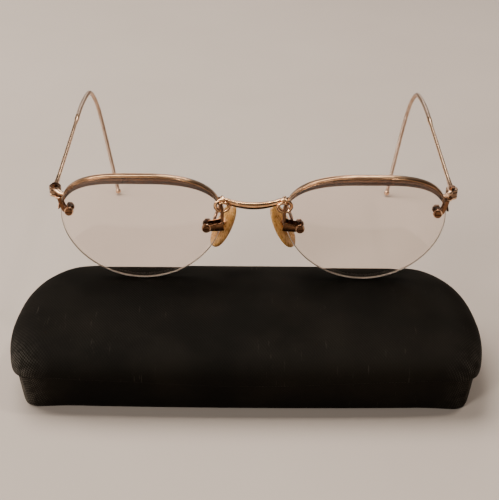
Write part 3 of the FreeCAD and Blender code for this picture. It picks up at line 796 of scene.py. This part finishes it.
def make_end_piece(side, sign):
    """From the arch arm's end a band curves out and back, and splits into the two outer knuckles."""
    low = PIN_Z - KNUCKLE_MID / 2 - KNUCKLE_GAP
    high = PIN_Z + KNUCKLE_MID / 2 + KNUCKLE_GAP
    bands = []
    for level, start in ((low - KNUCKLE_H / 2, PIN_Z - 0.5), (high + KNUCKLE_H / 2, PIN_Z + 0.5)):
        route = [(55.2, -3.7, start), (56.6, -3.3, (start + level) / 2), (57.7, -2.3, level),
                 (58.3, -1.2, level)]
        path = smooth_path(route, 24)
        along = unit(np.gradient(path, axis=0))
        side_dir = unit(np.cross(along, UPWARD))
        bands.append(carried(path, side_dir, np.cross(side_dir, along), 0.75,
                             0.38 * rounded_ends(24, 0.05), 3.2, 16))
    rings = [knuckle(low - KNUCKLE_H, low), knuckle(high, high + KNUCKLE_H)]
    # Painted shade: the knuckles are darkened, the upper band a little and the lower band not at all.
    shade = [np.full(grid.shape[:2], shade_amount) for grid, shade_amount in zip(bands + rings, (0.0, 0.3, 0.35, 0.7))]
    return build("end_piece_forked_" + side, on_side(bands + rings, sign), "spectacles_front", GOLD,
                 ["end_piece_" + side], attributes={"shade": shade})


# --- case ---------------------------------------------------------------------------------------
END_SHAPE = [(0, 28), (10, 26), (17.4, 19.2), (21.6, 9.5), (23, -3), (22.3, -13), (19.9, -22),
             (17, -25.5), (12.5, -26.6), (0, -27.4)]
END_REACH = 23


def case_outline():
    """The case's outline as offsets from its spine, and the place on the spine each belongs to.

    Along the back and the front the spine place is straight inward; round an end it is the end of
    the spine.  The two long sides share their places, so that the middle closes.
    """
    run = np.linspace(-SPINE_HALF, SPINE_HALF, 90, endpoint=False)
    back = np.stack([0 * run, np.full(90, CASE_HALF_DEPTH)], -1)
    front_run = -run
    front = np.stack([0 * run, -CASE_HALF_DEPTH + 0.6 * (front_run / SPINE_HALF) ** 2], -1)
    end = smooth_path(END_SHAPE, 101)[:-1]
    end[0] = (0.0, CASE_HALF_DEPTH)
    other = np.stack([-end[::-1, 0], end[::-1, 1]], -1)
    other = np.concatenate([[(0.0, -27.4)], other[:-1]])
    spine = np.concatenate([run, np.full(100, SPINE_HALF), front_run, np.full(100, -SPINE_HALF)])
    return np.concatenate([back, end, front, other]), spine


def case_point(offset, spine, inset, z, foot=0.0):
    """The outline drawn in towards the spine by an inset, at a height.

    Towards the foot its ends draw in less, and its front corners are squarer.
    """
    s = 1 - inset / CASE_HALF_DEPTH
    end = CASE_HALF_LENGTH - SPINE_HALF
    s_end = (s + FOOT_ENDS_OUT * foot / end) * end / END_REACH
    corner = (offset[:, 0] / FOOT_CORNER_X) ** 2
    square = np.where(offset[:, 1] < 0, FOOT_SQUARE * foot * corner, 0.0)
    x = spine + np.maximum(s_end, 0) * offset[:, 0]
    return np.stack([x, s * offset[:, 1] * (1 + square), z + 0 * spine], -1)


def corner_wear(offset, spine, amount):
    """An amount of wear, most near the front corners and some at the back of both ends."""
    x, y = spine + offset[:, 0], offset[:, 1]
    corner = np.exp(-((abs(x) - 63) / 5.5) ** 2 - ((y + 21) / 7.0) ** 2) * np.where(x > 0, 0.6, 1.0)
    shoulder = np.exp(-((abs(x) - 60) / 9) ** 2 - ((y - 20) / 10.0) ** 2)
    return (corner + 0.35 * shoulder) * amount


def front_lip_drop(x):
    """How far the lid's front lip hangs past its rim: most in the middle, and a little at the ends."""
    return 0.12 + 1.6 * np.exp(-(x / 31.0) ** 2) + 0.5 * step_between(abs(x), 56.0, 62.0)


def lid_row(offset, spine, share, depth):
    """A ring of the lid at a share of the way from its rim (0) to the start of its top (1).

    It climbs the upright wall first, then a quarter ellipse.  Depth moves it in along the normal.
    """
    x, y = spine + offset[:, 0], offset[:, 1]
    front_lip = front_lip_drop(x)
    side = step_between(y, -24.0, -14.0)
    low = LID_RIM_Z - (front_lip * (1 - side) + 0.8 * side * (1 - step_between(y, 2.0, 8.0)))
    at_hinge = step_between(y, 24.5, 26.5) * (1 - step_between(abs(x), HINGE_HALF, HINGE_HALF + 2))
    low = low + at_hinge * (HINGE_Z + HINGE_CLEAR - LID_RIM_Z)
    rise = LID_TOP - LID_RIM_Z
    first = np.arcsin(np.clip((low - LID_RIM_Z) / rise, 0, 1))
    wall = np.maximum(LID_RIM_Z - low, 0)
    bow = (EDGE_ROUND + rise) / 2
    gone = share * (wall + (math.pi / 2 - first) * bow)
    a = first + np.maximum(gone - wall, 0) / bow
    lean = unit(np.stack([np.cos(a) * rise, np.sin(a) * EDGE_ROUND], -1))
    inset = EDGE_ROUND * (1 - np.cos(a)) + depth * lean[:, 0]
    z = np.where(gone < wall, low + gone, LID_RIM_Z + rise * np.sin(a)) - depth * lean[:, 1]
    return case_point(offset, spine, inset, z)


def cloth_places(offset, spine, insets):
    """Where the cloth's points would lie if it were pulled flat: insets are measured along the cloth."""
    flat = [case_point(offset, spine, inset, 0.0) for inset in insets]
    return {"cloth_x": [np.array(flat)[..., 0]], "cloth_y": [np.array(flat)[..., 1]]}


def crown_height(share):
    """How far the lid's top swells, from nothing at its edge to all of it along its spine."""
    return CROWN * share ** 2 * (3 - 2 * share)


def cover(name, body, replaces, layers, insets, outline):
    """A skin from layers of (ring of points, dictionary of its attributes), closed at the spine."""
    rings = np.array([ring for ring, _ in layers])
    marks = {key: [np.array([fields[key] for _, fields in layers])] for key in layers[0][1]}
    return build(name, [rings], body, LEATHERETTE, [replaces], closed_ends=False,
                 sharp=50.0, attributes={**marks, **cloth_places(*outline, insets)})


def make_lid_cover():
    """Outer skin from the middle to the rim, a rolled hem, and the inner skin back to the middle."""
    offset, spine = case_outline()
    plain = np.zeros(len(spine))
    shares = np.linspace(0, 1, 22)
    tops = np.linspace(0, 1, 13)[1:]
    wall = (EDGE_ROUND + LID_TOP - LID_RIM_Z) / 2 * math.pi / 2
    top_insets = EDGE_ROUND + (CASE_HALF_DEPTH - EDGE_ROUND) * tops
    wall_insets = EDGE_ROUND - wall * (1 - shares)
    hem = [wall_insets[0] - step for step in (0.15, 0.35, 0.7, 1.0)]
    insets = [*top_insets[::-1], *wall_insets[::-1], *hem, *wall_insets, *top_insets]

    def top_row(t, depth):
        inset = EDGE_ROUND + (CASE_HALF_DEPTH - EDGE_ROUND) * t
        return case_point(offset, spine, inset, LID_TOP + crown_height(t) - depth), {"wear": plain}

    def wall_row(share, depth, wear=plain):
        return lid_row(offset, spine, share, depth), {"wear": wear}

    layers = [top_row(t, 0.0) for t in tops[::-1]]
    for share in shares[::-1]:
        worn = corner_wear(offset, spine, 1.15 * math.exp(-(share / 0.42) ** 2))
        layers.append(wall_row(share, 0.0, worn))
    for depth, drop in ((-0.07, 0.02), (-0.05, -0.14), (0.2, -0.25), (0.5, -0.2)):
        ring, fields = wall_row(0.0, depth, plain + 0.14)
        ring[:, 2] += drop
        layers.append((ring, fields))
    layers += [wall_row(share, COVER_T) for share in shares]
    layers += [top_row(t, COVER_T) for t in tops]
    return cover("lid_leatherette", "case_lid", "lid_cover", layers, insets, (offset, spine))


# Height up the base's wall, how far it is drawn in there, and how much of the foot's shape it has.
BASE_LEVELS = np.array([(0.0, FOOT_IN, 1.0), (0.25, FOOT_IN - 0.35, 1.0), (0.8, FOOT_IN - 0.65, 0.93),
                        (RIM_Z, 0, 0)])


def make_base_cover():
    """Outer skin from under the middle up the tapered wall, over a hem, and down the inner skin."""
    offset, spine = case_outline()
    x, y = spine + offset[:, 0], offset[:, 1]
    plain = np.zeros(len(spine))
    at_hinge = step_between(y, 24.5, 26.5) * (1 - step_between(abs(x), HINGE_HALF, HINGE_HALF + 2))
    high = RIM_Z - BASE_HEM - at_hinge * (RIM_Z - BASE_HEM - (HINGE_Z - HINGE_CLEAR))
    lip_z = LID_RIM_Z - front_lip_drop(x)
    seam_away = (abs(offset[:, 0]) - 18.7) ** 2 + (y + 23.9) ** 2
    seam = np.where(x < 0, 2.2, 0.9) * np.exp(-seam_away / 0.6)
    shares = np.concatenate([[0.0, 0.012, 0.026, 0.05, 0.085, 0.14, 0.22, 0.32, 0.43, 0.54, 0.65, 0.74],
                             np.linspace(0.78, 1.0, 12)])
    floor = np.linspace(0, 1, 9)[1:]
    foot = FOOT_IN + BASE_STEP
    floor_insets = foot + (CASE_HALF_DEPTH - foot) * floor
    wall_insets = foot - RIM_Z * shares
    hem = [wall_insets[-1] - step for step in (0.2, 0.45, 0.7)]
    insets = [*floor_insets[::-1], *wall_insets, *hem, *wall_insets[::-1], *floor_insets]

    def wall_row(share, depth, raise_by=0.0, wear=plain, lip_shadow=plain):
        level = np.clip(share * high, 0, RIM_Z)
        inset = np.interp(level, BASE_LEVELS[:, 0], BASE_LEVELS[:, 1]) + BASE_STEP + depth
        foot_shape = np.interp(level, BASE_LEVELS[:, 0], BASE_LEVELS[:, 2])
        ring = case_point(offset, spine, inset, np.maximum(level, depth) + raise_by, foot_shape)
        return ring, {"wear": wear, "lip_shadow": lip_shadow}

    def floor_row(t, depth):
        inset = foot + depth
        ring = case_point(offset, spine, inset + (CASE_HALF_DEPTH - inset) * t, depth, 1 - t)
        return ring, {"wear": plain, "lip_shadow": plain}

    layers = [floor_row(t, 0.0) for t in floor[::-1]]
    for share in shares:
        worn = corner_wear(offset, spine, 0.75) + seam + 0.35 * math.exp(-(share / 0.05) ** 2)
        # Painted shadow: the front of the base's wall, just below the lid's lip, is blackened.
        shade_amount = step_between(share * high, lip_z - 1.5, lip_z - 0.9) * step_between(-y, 5.0, 15.0)
        layers.append(wall_row(share, 0.0, wear=worn, lip_shadow=shade_amount))
    for depth, raise_by in ((0.1, 0.16), (0.33, 0.23), (0.55, 0.16)):
        layers.append(wall_row(1.0, depth, raise_by, wear=plain + 0.35))
    layers += [wall_row(share, COVER_T) for share in shares[::-1]]
    layers += [floor_row(t, COVER_T) for t in floor]
    return cover("base_leatherette", "case_base", "base_cover", layers, insets, (offset, spine))


# --- finishes of the frame's own nodes ------------------------------------------------------------
def dress_cad_nodes():
    """Every node of the frame gets the finish of its kind."""
    kinds = {"lens_screws": HARDWARE, "lens_nuts": HARDWARE, "lens_washers": GOLD, "hinge_screws": HARDWARE,
             "pad_pins": HARDWARE, "base_shell": STEEL, "lid_shell": STEEL, "base_hinge": STEEL,
             "lid_hinge": STEEL, "case_hinge_pin": STEEL, "snap_springs": STEEL, "base_lining": VELVET,
             "lid_lining": VELVET}
    for name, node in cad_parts.items():
        finish = kinds.get(name, GOLD)
        node.data.materials.clear()
        node.data.materials.append(finish.material)


# --- table, lights and camera ---------------------------------------------------------------------
def make_table():
    """A plain square that the set stands on."""
    half = 1.5
    corners = [(-half, -half, 0), (half, -half, 0), (half, half, 0), (-half, half, 0)]
    mesh = bpy.data.meshes.new("table_top")
    mesh.from_pydata(corners, [], [(0, 1, 2, 3)])
    mesh.materials.append(table_finish().material)
    table = bpy.data.objects.new("table_top", mesh)
    bpy.context.scene.collection.objects.link(table)


def soft_light(name, place, target, size, power, colour):
    """A round lamp at a place, turned to a target; metres and watts."""
    data = bpy.data.lights.new(name, "AREA")
    data.shape, data.size, data.energy, data.color = "DISK", size, power, colour
    lamp = bpy.data.objects.new(name, data)
    bpy.context.scene.collection.objects.link(lamp)
    lamp.location = place
    lamp.rotation_euler = (Vector(target) - Vector(place)).to_track_quat("-Z", "Y").to_euler()


def make_lights():
    """A dim warm room, a wide window overhead, and smaller lamps that bring out the metal."""
    world = bpy.data.worlds.new("room")
    bpy.context.scene.world = world
    world.use_nodes = True
    background = world.node_tree.nodes["Background"]
    background.inputs["Color"].default_value = (0.86, 0.80, 0.75, 1.0)
    background.inputs["Strength"].default_value = 0.12
    soft_light("window", (-0.30, 0.24, 0.86), (0.0, 0.03, 0.0), 0.70, 12.6, (1.0, 0.95, 0.90))
    soft_light("lamp", (0.35, -0.05, 0.95), (0.0, 0.03, 0.0), 0.12, 3.0, (1.0, 0.93, 0.86))
    soft_light("left wall", (-0.85, 0.30, 0.48), (0.0, 0.0, 0.03), 0.40, 3.2, (1.0, 0.96, 0.92))
    soft_light("back wall", (0.15, 1.10, 0.75), (0.0, 0.0, 0.03), 0.42, 2.2, (1.0, 0.96, 0.92))
    soft_light("front fill", (-0.50, -0.55, 0.40), (0.0, 0.0, 0.02), 0.22, 4.6, (1.0, 0.97, 0.93))


def make_camera():
    """Stands in front of the set and looks along +Y, thirty degrees down, through a long lens."""
    data = bpy.data.cameras.new("camera")
    data.lens, data.sensor_width = 72.0, 36.0
    camera = bpy.data.objects.new("camera", data)
    bpy.context.scene.collection.objects.link(camera)
    camera.location = tuple(place * MM for place in CAMERA_PLACE)
    turn = Matrix.Rotation(math.radians(60.0), 3, "X") @ Matrix.Rotation(math.radians(0.4), 3, "Z")
    camera.rotation_euler = turn.to_euler()
    bpy.context.scene.camera = camera


def main():
    make_camera()
    make_lights()
    make_table()
    dress_cad_nodes()
    make_bridge()
    for side, sign in SIDES.items():
        make_lens(side, sign)
        make_arm(side, sign)
        for kind in STRAP_PLACES:
            make_strap(kind, side, sign)
        make_bridge_scrolls(side, sign)
        make_pad_arm(side, sign)
        make_pad(side, sign)
        make_end_piece(side, sign)
        make_butt(side, sign)
        make_cable(side, sign)
        make_collar(side, sign)
    make_lid_cover()
    make_base_cover()


main()
